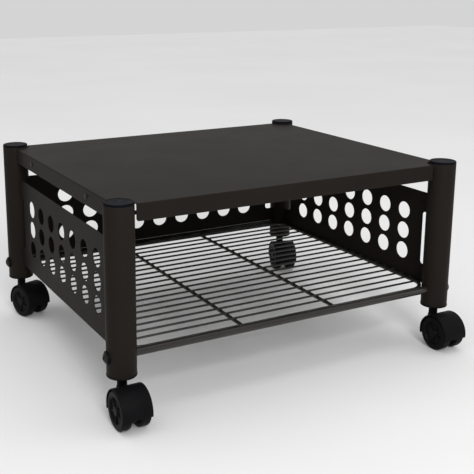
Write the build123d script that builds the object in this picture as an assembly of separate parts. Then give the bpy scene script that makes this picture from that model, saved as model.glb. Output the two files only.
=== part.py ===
from build123d import *
import math
import os

# Rolling stand for a desktop printer: four round posts, a folded steel top shelf,
# perforated side and rear panels, a welded wire lower shelf and four twin-wheel casters.
# Millimetres. X runs left to right, Y from front to back, Z up.
# The origin is on the floor, under the middle of the whole footprint.

# ---- overall layout ---------------------------------------------------------
POST_PITCH_X = 508.0          # post axis to post axis, left to right
POST_PITCH_Y = 416.0          # post axis to post axis, front to back
STAND_HEIGHT = 280.0          # floor to the top of the post caps

# ---- posts and caps ---------------------------------------------------------
POST_DIA = 38.1
POST_WALL = 1.5
CAP_RISE = 3.0                # cap disc above the tube's end
CAP_PLUG_DEPTH = 12.0
CAP_PLUG_WALL = 2.0
CAP_EDGE = 1.2                # rounding of the cap's rim
PLUG_FIT = 0.1                # radial room of a plastic plug in the tube

# ---- top shelf --------------------------------------------------------------
SHELF_DROP = 4.5              # cap top down to the shelf's surface
SHELF_SHEET = 1.2
LIP_OUTBOARD = 4.0            # outer face of the lips, outboard of the post axes
LIP_HEIGHT = 22.0
LIP_CORNER = 3.5
BEND_RADIUS = 2.0             # outside of the bends
POST_GAP = 2.5                # air between the shelf and a post
STIFFENER_WIDTH = 40.0
STIFFENER_DEPTH = 14.0
STIFFENER_FLANGE = 12.0
STIFFENER_SPREAD = 254.0      # between the two stiffeners' middles

# ---- upper side rails and shelf screws --------------------------------------
RAIL_BAR_WIDTH = 10.0
RAIL_BAR_HEIGHT = 18.0
RAIL_BAR_WALL = 1.5
SCREW_SPREAD = 224.0          # front screw to back screw
SCREW_SHANK = 4.0
SCREW_HEAD = 7.0
SCREW_HEAD_RISE = 1.6
SCREW_REACH = 4.0             # shank past the bar's outer wall
SCREW_HOLE_FIT = 0.15

# ---- perforated panels ------------------------------------------------------
PANEL_SHEET = 1.2
PANEL_UNDER_LIP = 27.5        # lips' lower edges down to the panels
PANEL_BELOW_RAIL = 1.0        # side panel's lower edge, under the lower rails' axes
PANEL_HOLE_DIA = 25.5
HOLE_ROW_PITCH = 32.1
HOLE_TOP_ROW_DROP = 37.0      # panel top down to the first row
HOLE_BOTTOM_MARGIN = 23.0     # last row up from the panel's bottom, at least
SIDE_HOLE_PITCH = 44.4
REAR_HOLE_PITCH = 43.3
HOLE_END_MARGIN = 10.0        # least metal between a hole and the panel's end
SLOT_WIDTH = 15.0             # open slot between the panel and the post
TAB_HEIGHT_TOP = 30.0
TAB_HEIGHT_BOTTOM = 30.2
TAB_REACH = 4.0               # tab inside the post, past the tube's wall
TAB_FIT = 0.2
SLOT_CORNER = 5.0
PANEL_ON_RAIL = 0.3           # air between the rear panel and the rear rail

# ---- lower shelf ------------------------------------------------------------
RAIL_OVER_FOOT = 25.8         # lower rails' axes, above the sockets' undersides
LOWER_RAIL_DIA = 10.8
LOWER_RAIL_WALL = 1.2
RIM_ROD = 6.0
RIM_ROOM = 0.3                # air from the rim rod to the side panels and to the posts
SUPPORT_ROD = 5.0
SUPPORT_SPREAD = 150.0
WIRE_DIA = 3.0
WIRE_PITCH = 20.0
WIRE_END_ROOM = 14.0          # rim rod to the first wire, at least
WELD_SINK = 0.3

# ---- rail bolts -------------------------------------------------------------
BOLT_SHANK = 6.0
BOLT_HOLE_FIT = 0.25
BOLT_HEAD = 14.0
BOLT_HEAD_RISE = 4.0
BOLT_SOCKET = 4.0             # across the flats of the hexagonal socket
BOLT_SOCKET_DEPTH = 2.2
BOLT_GRIP = 14.0              # shank inside the rail
SADDLE_DIA = 17.0
SADDLE_THICK = 1.4            # at its thinnest
INSERT_LENGTH = 20.0

# ---- casters ----------------------------------------------------------------
WHEEL_DIA = 50.0
WHEEL_WIDTH = 13.8
WHEEL_TRAIL = 22.0
WHEEL_EDGE = 3.0
WHEEL_DISH = 2.5
WHEEL_DISH_DIA = 33.0
WEB_THICK = 10.0
WEB_CLEAR = 0.7               # web face to wheel face
WEB_FLOOR = 6.0               # floor to the web's lowest point
HOOD_GAP = 0.9                # tread to the hood's inside
HOOD_WALL = 1.5
HOOD_OVERHANG = 0.5           # hood past each wheel's outer face
HOOD_FRONT_ANGLE = -8.0       # hood's ends, counted from level at the trailing side
HOOD_BACK_ANGLE = 196.0
HOOD_HEADROOM = 7.6           # hood's top to the socket's underside
NECK_DIA = 12.8
NECK_GAP = 0.5                # neck to the socket's underside
STEM_DIA = 10.0
STEM_SEAT = 14.0              # stem inside the neck
STEM_TOP_GAP = 0.5            # stem's end to the socket's closed top
STEM_FIT = 0.05
STEM_GROOVE_DEPTH = 0.8
STEM_GROOVE_WIDTH = 2.0
AXLE_DIA = 6.0
AXLE_FIT = 0.05
AXLE_END = 2.4                # wheel's closed outer wall over the axle
SOCKET_FLANGE = 2.5
SOCKET_FLANGE_OVER = 0.4
SOCKET_UNDER_BOLT = 1.3       # socket's top, under the rail bolt
SOCKET_TOP_WALL = 1.5

CASTERS = {                   # side, end, and the way each caster trails, in degrees
    "front_left": (-1, -1, -90.0),
    "front_right": (1, -1, -90.0),
    "rear_left": (-1, 1, -72.0),
    "rear_right": (1, 1, -108.0),
}

# ---- derived ----------------------------------------------------------------
POST_R = POST_DIA / 2
POST_X = POST_PITCH_X / 2
POST_Y = POST_PITCH_Y / 2
POST_INNER_R = POST_R - POST_WALL
WHEEL_R = WHEEL_DIA / 2
HOOD_INNER_R = WHEEL_R + HOOD_GAP
HOOD_R = HOOD_INNER_R + HOOD_WALL
POST_FOOT_Z = WHEEL_R + HOOD_R + HOOD_HEADROOM
TUBE_BOTTOM_Z = POST_FOOT_Z + SOCKET_FLANGE
TUBE_TOP_Z = STAND_HEIGHT - CAP_RISE
SHELF_Z = STAND_HEIGHT - SHELF_DROP
LIP_X = POST_X + LIP_OUTBOARD
LIP_Y = POST_Y + LIP_OUTBOARD
NOTCH_R = POST_R + POST_GAP
LIP_BOTTOM_Z = SHELF_Z - LIP_HEIGHT
SHEET_BELOW_Z = SHELF_Z - SHELF_SHEET
BAR_X = LIP_X - BEND_RADIUS - RAIL_BAR_WIDTH / 2
BAR_Z = SHEET_BELOW_Z - RAIL_BAR_HEIGHT / 2
LOWER_RAIL_Z = POST_FOOT_Z + RAIL_OVER_FOOT
PANEL_TOP_Z = LIP_BOTTOM_Z - PANEL_UNDER_LIP
PANEL_BOTTOM_Z = LOWER_RAIL_Z - PANEL_BELOW_RAIL
SOCKET_TOP_Z = LOWER_RAIL_Z - BOLT_SHANK / 2 - SOCKET_UNDER_BOLT
STEM_TOP_Z = SOCKET_TOP_Z - SOCKET_TOP_WALL - STEM_TOP_GAP
WHEEL_INNER_Y = WEB_THICK / 2 + WEB_CLEAR
WHEEL_OUTER_Y = WHEEL_INNER_Y + WHEEL_WIDTH
HOOD_HALF_WIDTH = WHEEL_OUTER_Y + HOOD_OVERHANG
RIM_X = POST_X - PANEL_SHEET / 2 - RIM_ROOM - RIM_ROD / 2
RIM_Y = POST_Y - LOWER_RAIL_DIA / 2 - RIM_ROD / 2 + WELD_SINK
WIRE_Z = LOWER_RAIL_Z + (RIM_ROD + WIRE_DIA) / 2 - WELD_SINK
FRONT_REACH = POST_Y + WHEEL_TRAIL + HOOD_R
REAR_REACH = POST_Y + POST_R
FOOTPRINT_SHIFT = (FRONT_REACH - REAR_REACH) / 2

X_AXIS = (0, 90, 0)           # turns a Z cylinder to lie along X
Y_AXIS = (90, 0, 0)           # turns a Z cylinder to lie along Y


def post_places():
    """Name, side and end of each of the four posts."""
    return [(name, side, end) for name, (side, end, _) in CASTERS.items()]


def rod(radius, length, at, turn=(0, 0, 0)):
    """A round bar whose middle is at a point."""
    return Pos(*at) * Rot(*turn) * Cylinder(radius, length)


def upright(radius, bottom, top, at=(0, 0)):
    """A vertical round bar between two heights."""
    return rod(radius, top - bottom, (at[0], at[1], (top + bottom) / 2))


def block(low, high):
    """A box between two corners."""
    size = [h - l for l, h in zip(low, high)]
    middle = [(h + l) / 2 for l, h in zip(low, high)]
    return Pos(*middle) * Box(*size)


def tab_levels(panel_bottom):
    """Height ranges of a panel's lower and upper tabs."""
    lower = (panel_bottom, PANEL_BOTTOM_Z + TAB_HEIGHT_BOTTOM)
    upper = (PANEL_TOP_Z - TAB_HEIGHT_TOP, PANEL_TOP_Z)
    return [lower, upper]


def rear_panel_bottom():
    """The rear panel stands just above the rear rail."""
    return LOWER_RAIL_Z + LOWER_RAIL_DIA / 2 + PANEL_ON_RAIL


def post_tube(side, end):
    """One tube, with its panel slots, bolt holes and nothing else cut."""
    x, y = side * POST_X, end * POST_Y
    tube = upright(POST_R, TUBE_BOTTOM_Z, TUBE_TOP_Z, (x, y))
    tube -= upright(POST_INNER_R, TUBE_BOTTOM_Z, TUBE_TOP_Z, (x, y))
    tube -= rod(BOLT_SHANK / 2 + BOLT_HOLE_FIT, POST_DIA + 2, (x, y, LOWER_RAIL_Z), X_AXIS)
    half = PANEL_SHEET / 2 + TAB_FIT
    for low, high in tab_levels(PANEL_BOTTOM_Z):
        tube -= block((x - half, min(y, y - end * POST_DIA), low - TAB_FIT),
                      (x + half, max(y, y - end * POST_DIA), high + TAB_FIT))
    if end > 0:
        for low, high in tab_levels(rear_panel_bottom()):
            tube -= block((min(x, x - side * POST_DIA), y - half, low - TAB_FIT),
                          (max(x, x - side * POST_DIA), y + half, high + TAB_FIT))
    return tube


def post_cap(side, end):
    """Moulded cap: a rounded disc on the tube's end and a hollow plug inside it."""
    disc = upright(POST_R, TUBE_TOP_Z, STAND_HEIGHT)
    disc = fillet(disc.edges().group_by(Axis.Z)[-1], CAP_EDGE)
    plug_r = POST_INNER_R - PLUG_FIT
    plug_bottom = TUBE_TOP_Z - CAP_PLUG_DEPTH
    plug = upright(plug_r, plug_bottom, TUBE_TOP_Z)
    plug -= upright(plug_r - CAP_PLUG_WALL, plug_bottom, TUBE_TOP_Z)
    return Pos(side * POST_X, end * POST_Y, 0) * (disc + plug)


def screw_places():
    """Side, X of the lip's outer face, and Y of each shelf screw."""
    return [(side, side * LIP_X, end * SCREW_SPREAD / 2) for side in (-1, 1) for end in (-1, 1)]


def folded_sheet():
    """The shelf's sheet with four lips and bent edges, before its corners are cut."""
    outer = block((-LIP_X, -LIP_Y, LIP_BOTTOM_Z), (LIP_X, LIP_Y, SHELF_Z))
    outer = fillet(outer.edges().group_by(Axis.Z)[-1], BEND_RADIUS)
    inner_x, inner_y = LIP_X - SHELF_SHEET, LIP_Y - SHELF_SHEET
    inner = block((-inner_x, -inner_y, LIP_BOTTOM_Z), (inner_x, inner_y, SHEET_BELOW_Z))
    inner = fillet(inner.edges().group_by(Axis.Z)[-1], BEND_RADIUS - SHELF_SHEET)
    return outer - inner


def lip_corner_cut(end_x, lip_y):
    """What is cut from the lower corner of a lip that ends at end_x, drawn for a lip along X."""
    cut = block((end_x - LIP_CORNER, lip_y - 2 * SHELF_SHEET, LIP_BOTTOM_Z - 1),
                (end_x + 1, lip_y + 2 * SHELF_SHEET, LIP_BOTTOM_Z + LIP_CORNER))
    middle = (end_x - LIP_CORNER, lip_y, LIP_BOTTOM_Z + LIP_CORNER)
    return cut - rod(LIP_CORNER, 6 * SHELF_SHEET, middle, Y_AXIS)


def top_shelf():
    """Sheet folded down on four sides and cut back round the posts."""
    sheet = folded_sheet()
    for _, side, end in post_places():
        sheet -= upright(NOTCH_R, LIP_BOTTOM_Z - 1, SHELF_Z + 1, (side * POST_X, end * POST_Y))
    lip_reach = math.sqrt(NOTCH_R ** 2 - LIP_OUTBOARD ** 2)
    for turn in (0, 180):
        for flip in (0, 1):
            long_cut = lip_corner_cut(POST_X - lip_reach, -LIP_Y)
            short_cut = lip_corner_cut(POST_Y - lip_reach, -LIP_X)
            if flip:
                long_cut, short_cut = mirror(long_cut, Plane.YZ), mirror(short_cut, Plane.YZ)
            sheet -= Rot(0, 0, turn) * long_cut
            sheet -= Rot(0, 0, turn + 90) * short_cut
    for _, x, y in screw_places():
        hole_r = SCREW_SHANK / 2 + SCREW_HOLE_FIT
        sheet -= rod(hole_r, 4 * SHELF_SHEET, (x, y, BAR_Z), X_AXIS)
    return sheet


def shelf_stiffener(x):
    """Hat channel under the sheet, from the front lip to the rear one."""
    half_length = LIP_Y - SHELF_SHEET - BEND_RADIUS
    half = STIFFENER_WIDTH / 2
    top = SHEET_BELOW_Z
    low = top - STIFFENER_DEPTH
    hat = block((-half, -half_length, low), (half, half_length, top))
    hat -= block((SHELF_SHEET - half, -half_length, low + SHELF_SHEET),
                 (half - SHELF_SHEET, half_length, top))
    for way in (-1, 1):
        inner, outer = way * half, way * (half + STIFFENER_FLANGE)
        hat += block((min(inner, outer), -half_length, top - SHELF_SHEET),
                     (max(inner, outer), half_length, top))
    return Pos(x, 0, 0) * hat


def upper_side_rail(side):
    """Square-section bar between two posts, close inside the lip and under the sheet."""
    reach = POST_Y
    low_z, high_z = BAR_Z - RAIL_BAR_HEIGHT / 2, BAR_Z + RAIL_BAR_HEIGHT / 2
    half = RAIL_BAR_WIDTH / 2
    bar = block((-half, -reach, low_z), (half, reach, high_z))
    bar -= block((RAIL_BAR_WALL - half, -reach, low_z + RAIL_BAR_WALL),
                 (half - RAIL_BAR_WALL, reach, high_z - RAIL_BAR_WALL))
    bar = Pos(side * BAR_X, 0, 0) * bar
    for end in (-1, 1):
        bar -= upright(POST_R, low_z - 1, high_z + 1, (side * POST_X, end * POST_Y))
        hole_x = side * (BAR_X + half)
        bar -= rod(SCREW_SHANK / 2, 3 * RAIL_BAR_WALL, (hole_x, end * SCREW_SPREAD / 2, BAR_Z), X_AXIS)
    return bar


def shelf_screw(side, x, y):
    """Low round-headed screw through the lip into the side rail."""
    length = BEND_RADIUS + RAIL_BAR_WALL + SCREW_REACH
    shank = Pos(0, 0, -length / 2) * Cylinder(SCREW_SHANK / 2, length)
    head = Pos(0, 0, SCREW_HEAD_RISE / 2) * Cylinder(SCREW_HEAD / 2, SCREW_HEAD_RISE)
    head = fillet(head.edges().group_by(Axis.Z)[-1], SCREW_HEAD_RISE * 0.7)
    return Pos(x, y, BAR_Z) * Rot(0, side * 90, 0) * (head + shank)


def hole_columns(half_length, pitch):
    """Places of the hole columns that fit on a panel, even about its middle."""
    room = half_length - HOLE_END_MARGIN - PANEL_HOLE_DIA / 2
    count = int(room // pitch)
    return [pitch * step for step in range(-count, count + 1)]


def hole_rows():
    """Heights of the hole rows, from the top down; the side and rear panels share them."""
    top_row = PANEL_TOP_Z - HOLE_TOP_ROW_DROP
    room = top_row - PANEL_BOTTOM_Z - HOLE_BOTTOM_MARGIN
    return [top_row - HOLE_ROW_PITCH * row for row in range(int(room // HOLE_ROW_PITCH) + 1)]


def perforated_panel(half_span, pitch, bottom):
    """Panel drawn along X at Y 0, with tabs that pass into the posts at each end."""
    half_length = half_span - POST_R - SLOT_WIDTH
    panel = block((-half_length, -PANEL_SHEET / 2, bottom), (half_length, PANEL_SHEET / 2, PANEL_TOP_Z))
    tab_end = half_span - POST_INNER_R + TAB_REACH
    for low, high in tab_levels(bottom):
        panel += block((-tab_end, -PANEL_SHEET / 2, low), (tab_end, PANEL_SHEET / 2, high))
    inner = [e for e in panel.edges().filter_by(Axis.Y)
             if abs(abs(e.center().X) - half_length) < 0.01 and bottom + 1 < e.center().Z < PANEL_TOP_Z - 1]
    panel = fillet(inner, SLOT_CORNER)
    for x in hole_columns(half_length, pitch):
        for z in hole_rows():
            panel -= rod(PANEL_HOLE_DIA / 2, 4 * PANEL_SHEET, (x, 0, z), Y_AXIS)
    return panel


def side_panel(side):
    panel = perforated_panel(POST_Y, SIDE_HOLE_PITCH, PANEL_BOTTOM_Z)
    return Pos(side * POST_X, 0, 0) * Rot(0, 0, 90) * panel


def rear_panel():
    return Pos(0, POST_Y, 0) * perforated_panel(POST_X, REAR_HOLE_PITCH, rear_panel_bottom())


def lower_rail(end):
    """Round tube between two posts, its ends shaped to the posts."""
    at = (0, end * POST_Y, LOWER_RAIL_Z)
    tube = rod(LOWER_RAIL_DIA / 2, POST_PITCH_X, at, X_AXIS)
    tube -= rod(LOWER_RAIL_DIA / 2 - LOWER_RAIL_WALL, POST_PITCH_X, at, X_AXIS)
    for side in (-1, 1):
        tube -= upright(POST_R, LOWER_RAIL_Z - POST_R, LOWER_RAIL_Z + POST_R, (side * POST_X, end * POST_Y))
    return tube


def bolt_places():
    return [(side, end) for side in (-1, 1) for end in (-1, 1)]


def rail_insert(side, end):
    """Threaded plug pressed into a rail's end."""
    x = side * (POST_X - POST_R - INSERT_LENGTH / 2 - BOLT_HOLE_FIT)
    at = (x, end * POST_Y, LOWER_RAIL_Z)
    plug = rod(LOWER_RAIL_DIA / 2 - LOWER_RAIL_WALL, INSERT_LENGTH, at, X_AXIS)
    return plug - rod(BOLT_SHANK / 2, INSERT_LENGTH, at, X_AXIS)


def rail_bolt(side, end):
    """Round-headed bolt through a post into the rail's plug."""
    length = SADDLE_THICK + POST_DIA + BOLT_GRIP
    shank = Pos(0, 0, -length / 2) * Cylinder(BOLT_SHANK / 2, length)
    head = Pos(0, 0, BOLT_HEAD_RISE / 2) * Cylinder(BOLT_HEAD / 2, BOLT_HEAD_RISE)
    head = fillet(head.edges().group_by(Axis.Z)[-1], BOLT_HEAD_RISE * 0.75)
    socket = extrude(RegularPolygon(BOLT_SOCKET / 2, 6, major_radius=False), BOLT_SOCKET_DEPTH)
    bolt = head + shank - Pos(0, 0, BOLT_HEAD_RISE - BOLT_SOCKET_DEPTH) * socket
    x = side * (POST_X + POST_R + SADDLE_THICK)
    return Pos(x, end * POST_Y, LOWER_RAIL_Z) * Rot(0, side * 90, 0) * bolt


def bolt_saddle(side, end):
    """Washer hollowed on one side to sit on the round post."""
    sag = POST_R - math.sqrt(POST_R ** 2 - (SADDLE_DIA / 2) ** 2)
    depth = SADDLE_THICK + sag
    x = side * (POST_X + POST_R + SADDLE_THICK - depth / 2)
    at = (x, end * POST_Y, LOWER_RAIL_Z)
    washer = rod(SADDLE_DIA / 2, depth, at, X_AXIS)
    washer -= upright(POST_R, LOWER_RAIL_Z - POST_R, LOWER_RAIL_Z + POST_R, (side * POST_X, end * POST_Y))
    return washer - rod(BOLT_SHANK / 2 + BOLT_HOLE_FIT, 2 * depth, at, X_AXIS)


def rim_corner():
    """Bend radius that carries the rim rod past the inner side of a post."""
    across, along = POST_X - RIM_X, POST_Y - RIM_Y
    clear = POST_R + RIM_ROOM + RIM_ROD / 2
    slack = clear - across - along
    return slack + math.sqrt(slack ** 2 + clear ** 2 - across ** 2 - along ** 2)


def rim_half_width(y):
    """Half the width between the rim rods' axes at a place along Y."""
    corner = rim_corner()
    past_straight = abs(y) - (RIM_Y - corner)
    if past_straight <= 0:
        return RIM_X
    return RIM_X - corner + math.sqrt(corner ** 2 - past_straight ** 2)


def wire_shelf():
    """Welded tray: a rounded rim rod, two supports along Y and a row of wires along X."""
    rim_line = RectangleRounded(2 * RIM_X, 2 * RIM_Y, rim_corner()).wire()
    rim_line = Pos(0, 0, LOWER_RAIL_Z) * rim_line
    start = rim_line.position_at(0)
    section = Plane(origin=start, z_dir=rim_line.tangent_at(0)) * Circle(RIM_ROD / 2)
    grid = sweep(section, path=rim_line)
    bars = []
    for way in (-1, 1):
        bars.append(rod(SUPPORT_ROD / 2, 2 * RIM_Y, (way * SUPPORT_SPREAD / 2, 0, LOWER_RAIL_Z), Y_AXIS))
    count = int((RIM_Y - WIRE_END_ROOM) // WIRE_PITCH)
    for step in range(-count, count + 1):
        y = step * WIRE_PITCH
        bars.append(rod(WIRE_DIA / 2, 2 * rim_half_width(y), (0, y, WIRE_Z), X_AXIS))
    return grid.fuse(*bars)


def caster_socket(side, end):
    """Moulded bush in the foot of a post, with a bore for the caster's stem."""
    bush = upright(POST_R + SOCKET_FLANGE_OVER, POST_FOOT_Z, TUBE_BOTTOM_Z)
    bush += upright(POST_INNER_R - PLUG_FIT, TUBE_BOTTOM_Z, SOCKET_TOP_Z)
    bush -= upright(STEM_DIA / 2 + STEM_FIT, POST_FOOT_Z, SOCKET_TOP_Z - SOCKET_TOP_WALL)
    return Pos(side * POST_X, end * POST_Y, 0) * bush


def caster_stem():
    """Steel pin of a caster, grooved near its top."""
    bottom = POST_FOOT_Z - NECK_GAP - STEM_SEAT
    top = STEM_TOP_Z
    pin = upright(STEM_DIA / 2, bottom, top)
    pin = chamfer(pin.edges().group_by(Axis.Z)[-1], 1.0)
    groove_top = top - 2 * STEM_GROOVE_WIDTH
    groove = upright(STEM_DIA, groove_top - STEM_GROOVE_WIDTH, groove_top)
    groove -= upright(STEM_DIA / 2 - STEM_GROOVE_DEPTH, groove_top - STEM_GROOVE_WIDTH, groove_top)
    return pin - groove


def hood_arc(outer, inner, half_width):
    """Curved shell over the wheels, between two angles, centred on the axle."""
    first = math.radians(HOOD_FRONT_ANGLE)
    last = math.radians(HOOD_BACK_ANGLE)
    middle = (first + last) / 2

    def on(radius, angle):
        return (radius * math.cos(angle), radius * math.sin(angle))

    outline = [
        ThreePointArc(on(outer, first), on(outer, middle), on(outer, last)),
        Line(on(outer, last), on(inner, last)),
        ThreePointArc(on(inner, last), on(inner, middle), on(inner, first)),
        Line(on(inner, first), on(outer, first)),
    ]
    return extrude(Plane.XZ * make_face(outline), half_width, both=True)


def caster_hood():
    """Hood, central web and neck in one moulding; it trails along +X from the stem."""
    axle = Pos(WHEEL_TRAIL, 0, WHEEL_R)
    shell = axle * hood_arc(HOOD_R, HOOD_INNER_R, HOOD_HALF_WIDTH)
    web = axle * Rot(*Y_AXIS) * Cylinder(WHEEL_R - WEB_FLOOR, WEB_THICK)
    web += axle * hood_arc(HOOD_R - HOOD_WALL / 2, WHEEL_R - WEB_FLOOR - HOOD_WALL, WEB_THICK / 2)
    neck_top = POST_FOOT_Z - NECK_GAP
    neck = upright(NECK_DIA / 2, WHEEL_R + HOOD_R / 2, neck_top)
    neck -= axle * Rot(*Y_AXIS) * Cylinder(HOOD_INNER_R, 2 * HOOD_HALF_WIDTH)
    hood = shell + web + neck
    hood -= upright(STEM_DIA / 2, neck_top - STEM_SEAT, neck_top)
    return hood - axle * Rot(*Y_AXIS) * Cylinder(AXLE_DIA / 2, 2 * HOOD_HALF_WIDTH)


def caster_axle():
    half = WHEEL_OUTER_Y - AXLE_END - AXLE_FIT
    return Pos(WHEEL_TRAIL, 0, WHEEL_R) * Rot(*Y_AXIS) * Cylinder(AXLE_DIA / 2, 2 * half)


def caster_wheel(way):
    """One wheel of the pair: rounded tread, dished outer face, blind bore from inside."""
    wheel = Cylinder(WHEEL_R, WHEEL_WIDTH)
    wheel = fillet(wheel.edges().filter_by(GeomType.CIRCLE), WHEEL_EDGE)
    face = WHEEL_WIDTH / 2
    dish = Pos(0, 0, face - WHEEL_DISH / 2) * Cylinder(WHEEL_DISH_DIA / 2, WHEEL_DISH)
    hub = Pos(0, 0, face - WHEEL_DISH / 2) * Cylinder(AXLE_DIA, WHEEL_DISH)
    wheel -= dish - hub
    bore_length = WHEEL_WIDTH - AXLE_END
    wheel -= Pos(0, 0, bore_length / 2 - face) * Cylinder(AXLE_DIA / 2 + AXLE_FIT, bore_length)
    middle = WHEEL_INNER_Y + WHEEL_WIDTH / 2
    return Pos(WHEEL_TRAIL, way * middle, WHEEL_R) * Rot(-way * 90, 0, 0) * wheel


def caster_parts():
    """The pieces of one caster under its stem, trailing along +X."""
    return {
        "stem": caster_stem(),
        "hood": caster_hood(),
        "axle": caster_axle(),
        "wheel_a": caster_wheel(-1),
        "wheel_b": caster_wheel(1),
    }


def stiffener_places():
    return [way * STIFFENER_SPREAD / 2 for way in (-1, 1)]


def build():
    nodes = {}
    for name, side, end in post_places():
        nodes["post_" + name] = post_tube(side, end)
        nodes["post_cap_" + name] = post_cap(side, end)
        nodes["caster_socket_" + name] = caster_socket(side, end)
    nodes["top_shelf"] = top_shelf()
    nodes["shelf_stiffeners"] = Compound([shelf_stiffener(x) for x in stiffener_places()])
    for name, side in (("left", -1), ("right", 1)):
        nodes["upper_side_rail_" + name] = upper_side_rail(side)
        nodes["side_panel_" + name] = side_panel(side)
    nodes["shelf_screws"] = Compound([shelf_screw(*place) for place in screw_places()])
    nodes["rear_panel"] = rear_panel()
    nodes["lower_front_rail"] = lower_rail(-1)
    nodes["lower_rear_rail"] = lower_rail(1)
    nodes["rail_inserts"] = Compound([rail_insert(*place) for place in bolt_places()])
    nodes["rail_bolts"] = Compound([rail_bolt(*place) for place in bolt_places()])
    nodes["bolt_saddles"] = Compound([bolt_saddle(*place) for place in bolt_places()])
    nodes["wire_shelf"] = wire_shelf()
    pieces = caster_parts()
    for name, (side, end, trail_angle) in CASTERS.items():
        place = Pos(side * POST_X, end * POST_Y, 0) * Rot(0, 0, trail_angle)
        for piece, shape in pieces.items():
            nodes["caster_" + piece + "_" + name] = place * shape
    return nodes


def write(nodes):
    os.makedirs("parts", exist_ok=True)
    for name, shape in nodes.items():
        export_step(Pos(0, FOOTPRINT_SHIFT, 0) * shape, "parts/" + name + ".step")


write(build())
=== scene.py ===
import math

import bmesh
import bpy
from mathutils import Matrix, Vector


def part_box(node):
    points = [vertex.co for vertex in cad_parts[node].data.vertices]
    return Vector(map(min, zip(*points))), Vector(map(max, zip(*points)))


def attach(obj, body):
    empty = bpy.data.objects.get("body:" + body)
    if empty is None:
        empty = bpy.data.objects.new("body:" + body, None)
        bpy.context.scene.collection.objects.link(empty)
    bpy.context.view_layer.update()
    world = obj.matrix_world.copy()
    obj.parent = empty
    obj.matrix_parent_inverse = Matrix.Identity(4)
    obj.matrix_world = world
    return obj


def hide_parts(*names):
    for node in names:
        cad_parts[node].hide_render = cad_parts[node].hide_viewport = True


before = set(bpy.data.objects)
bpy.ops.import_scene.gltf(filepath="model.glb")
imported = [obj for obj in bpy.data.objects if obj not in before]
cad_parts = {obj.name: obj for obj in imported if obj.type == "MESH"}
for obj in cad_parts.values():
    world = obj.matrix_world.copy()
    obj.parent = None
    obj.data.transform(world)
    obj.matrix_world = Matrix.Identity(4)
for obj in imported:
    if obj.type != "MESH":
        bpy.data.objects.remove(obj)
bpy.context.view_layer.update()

# Rolling stand for a desktop printer: four round posts, a folded steel top shelf, perforated
# panels, a welded wire lower shelf and four twin-wheel casters. Metres, in the frame's own axes.

MM = 0.001

CORNERS = ("front_left", "front_right", "rear_left", "rear_right")
TRAIL_ANGLE = {"front_left": -90.0, "front_right": -90.0, "rear_left": -72.0, "rear_right": -108.0}

POST_R = 19.05 * MM
POST_WALL = 1.5 * MM
PLUG_R = 17.45 * MM
SHEET = 1.2 * MM
POST_GAP = 2.5 * MM
LIP_CORNER = 3.5 * MM
LIP_BEND = 2.0 * MM
CHANNEL_WIDTH = 64.0 * MM
CHANNEL_FLANGE = 12.0 * MM
CHANNEL_BEND = 1.5 * MM
HOLE_R = 12.75 * MM
HOLE_ROW_PITCH = 32.1 * MM
HOLE_TOP_DROP = 37.0 * MM
HOLE_ROWS = 3
SIDE_HOLE_PITCH = 44.4 * MM
SIDE_HOLE_COUNT = 7
REAR_HOLE_PITCH = 43.3 * MM
REAR_HOLE_COUNT = 9
SLOT_WIDTH = 15.0 * MM
SLOT_CORNER = 5.0 * MM
SLOT_INTO_POST = 14.0 * MM
TAB_HEIGHT_TOP = 30.0 * MM
TAB_HEIGHT_BOTTOM = 30.2 * MM
RAIL_R = 5.4 * MM
RAIL_WALL = 1.2 * MM
RIM_ROD_R = 3.0 * MM
RIM_CORNER = 33.3 * MM
SUPPORT_R = 2.5 * MM
SUPPORT_SPREAD = 150.0 * MM
WIRE_R = 1.5 * MM
WIRE_PITCH = 20.0 * MM
WIRE_STEPS = 9
WELD_SIZE = (2.3 * MM, 1.9 * MM, 1.0 * MM)
BOLT_HEAD_R = 7.0 * MM
BOLT_HEAD_RISE = 4.0 * MM
BOLT_SHANK_R = 3.0 * MM
BOLT_REACH = 40.0 * MM
BOLT_SOCKET_R = 2.31 * MM
SCREW_HEAD_R = 3.5 * MM
SCREW_HEAD_RISE = 1.6 * MM
SCREW_SHANK_R = 2.0 * MM
SCREW_REACH = 8.0 * MM
WHEEL_R = 25.0 * MM
WHEEL_TRAIL = 22.0 * MM
WHEEL_INNER = 5.7 * MM
WHEEL_OUTER = 19.5 * MM
WHEEL_EDGE = 3.0 * MM
WHEEL_BORE_R = 3.05 * MM
DISH_R = 16.5 * MM
HUB_R = 6.0 * MM
RIB_COUNT = 5
HOOD_R = 27.4 * MM
HOOD_INNER_R = 25.9 * MM
HOOD_HALF = 20.0 * MM
HOOD_FIRST = -8.0
HOOD_LAST = 196.0
WEB_R = 19.0 * MM
WEB_HALF = 5.0 * MM
NECK_R = 6.4 * MM
NECK_SHOULDER = 44.5 * MM
NECK_TOP = 59.5 * MM
STEM_R = 5.0 * MM


# ---- hand tools ---------------------------------------------------------------

def deselect_all():
    """Leaves edit mode if need be and clears the selection."""
    if bpy.context.mode != "OBJECT":
        bpy.ops.object.mode_set(mode="OBJECT")
    bpy.ops.object.select_all(action="DESELECT")


def hold(piece):
    """Selects one piece alone and makes it the active one."""
    deselect_all()
    piece.select_set(True)
    bpy.context.view_layer.objects.active = piece


def edit(piece):
    """Opens a piece in edit mode with nothing selected."""
    hold(piece)
    bpy.ops.object.mode_set(mode="EDIT")
    bpy.ops.mesh.select_mode(type="FACE")
    bpy.ops.mesh.select_all(action="DESELECT")


def done():
    bpy.ops.object.mode_set(mode="OBJECT")


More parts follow.
